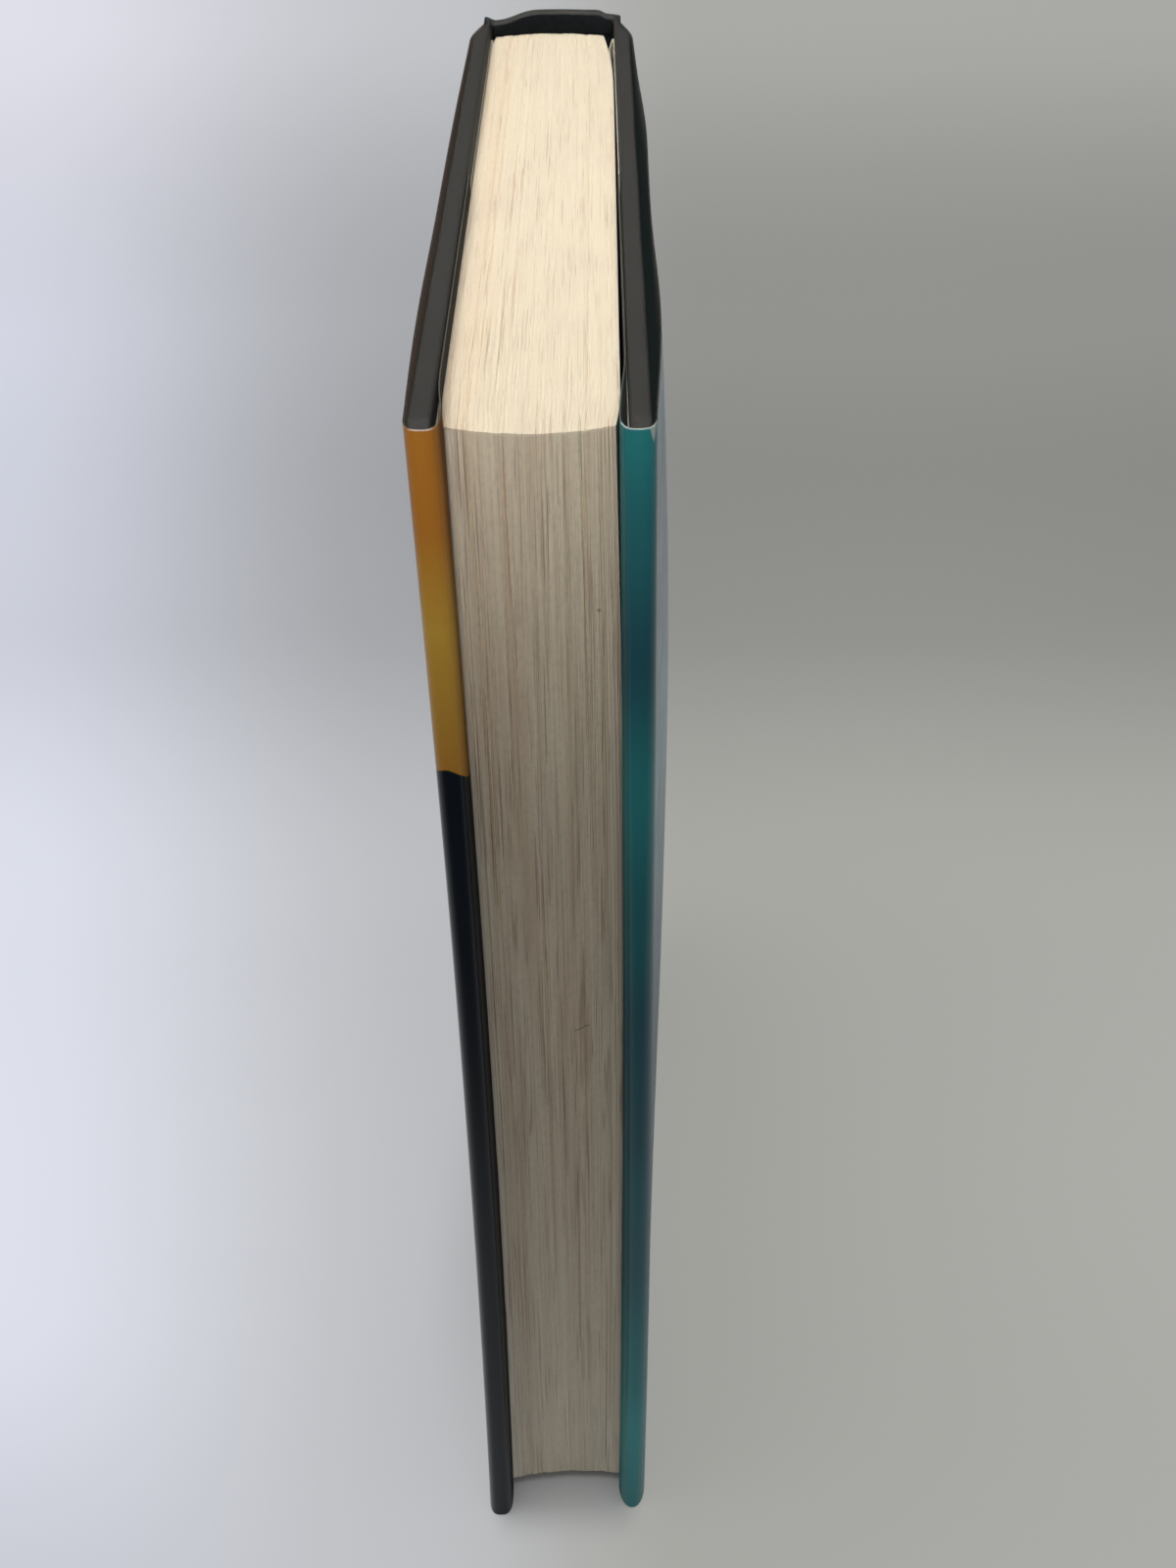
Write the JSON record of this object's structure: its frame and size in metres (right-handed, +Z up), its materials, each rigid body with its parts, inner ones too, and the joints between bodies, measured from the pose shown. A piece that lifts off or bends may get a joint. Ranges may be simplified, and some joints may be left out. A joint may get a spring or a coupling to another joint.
{
  "type": "hardcover book",
  "caption": "Closed hardcover book standing on its tail, with a rounded spine, overhanging cloth boards that open, and a loose jacket folded round them.",
  "frame": {"origin": "on the surface that the book stands on, under the middle of its bounding box", "axes": "+X from the front cover to the back cover, +Y from the fore-edge to the spine, +Z up from tail to head"},
  "size_m": [0.0338, 0.1636, 0.235],
  "materials": {
    "pages": "uncoated cream book paper, cut edges",
    "endpaper": "uncoated endpaper",
    "gauze": "open starched gauze",
    "lining_paper": "kraft paper",
    "band": "woven band with fine ribs",
    "card": "plain card",
    "board": "grey binder's board",
    "case_cloth": "matt dark grey book cloth",
    "jacket_print": "printed paper with a gloss film"
  },
  "bodies": {
    "book": {"text_block": "pages", "front_flyleaf": "endpaper", "back_flyleaf": "endpaper", "spine_mull": "gauze", "spine_lining": "lining_paper", "headband": "band", "tailband": "band", "spine_strip": "card", "case_spine": "case_cloth", "jacket_spine": "jacket_print"},
    "front_cover": {"front_board": "board", "front_case": "case_cloth", "front_mull_flap": "gauze", "front_pastedown": "endpaper", "front_jacket": "jacket_print"},
    "back_cover": {"back_board": "board", "back_case": "case_cloth", "back_mull_flap": "gauze", "back_pastedown": "endpaper", "back_jacket": "jacket_print"}
  },
  "joints": [
    {"name": "front_cover_hinge", "type": "hinge", "parent": "book", "child": "front_cover", "pos_m": [-0.0146, 0.07461, 0.1175], "axis": [0, 0, -1], "range_deg": [0, 179.5]},
    {"name": "back_cover_hinge", "type": "hinge", "parent": "book", "child": "back_cover", "pos_m": [0.0126, 0.07461, 0.1175], "axis": [0, 0, 1], "range_deg": [0, 179.5]}
  ]
}
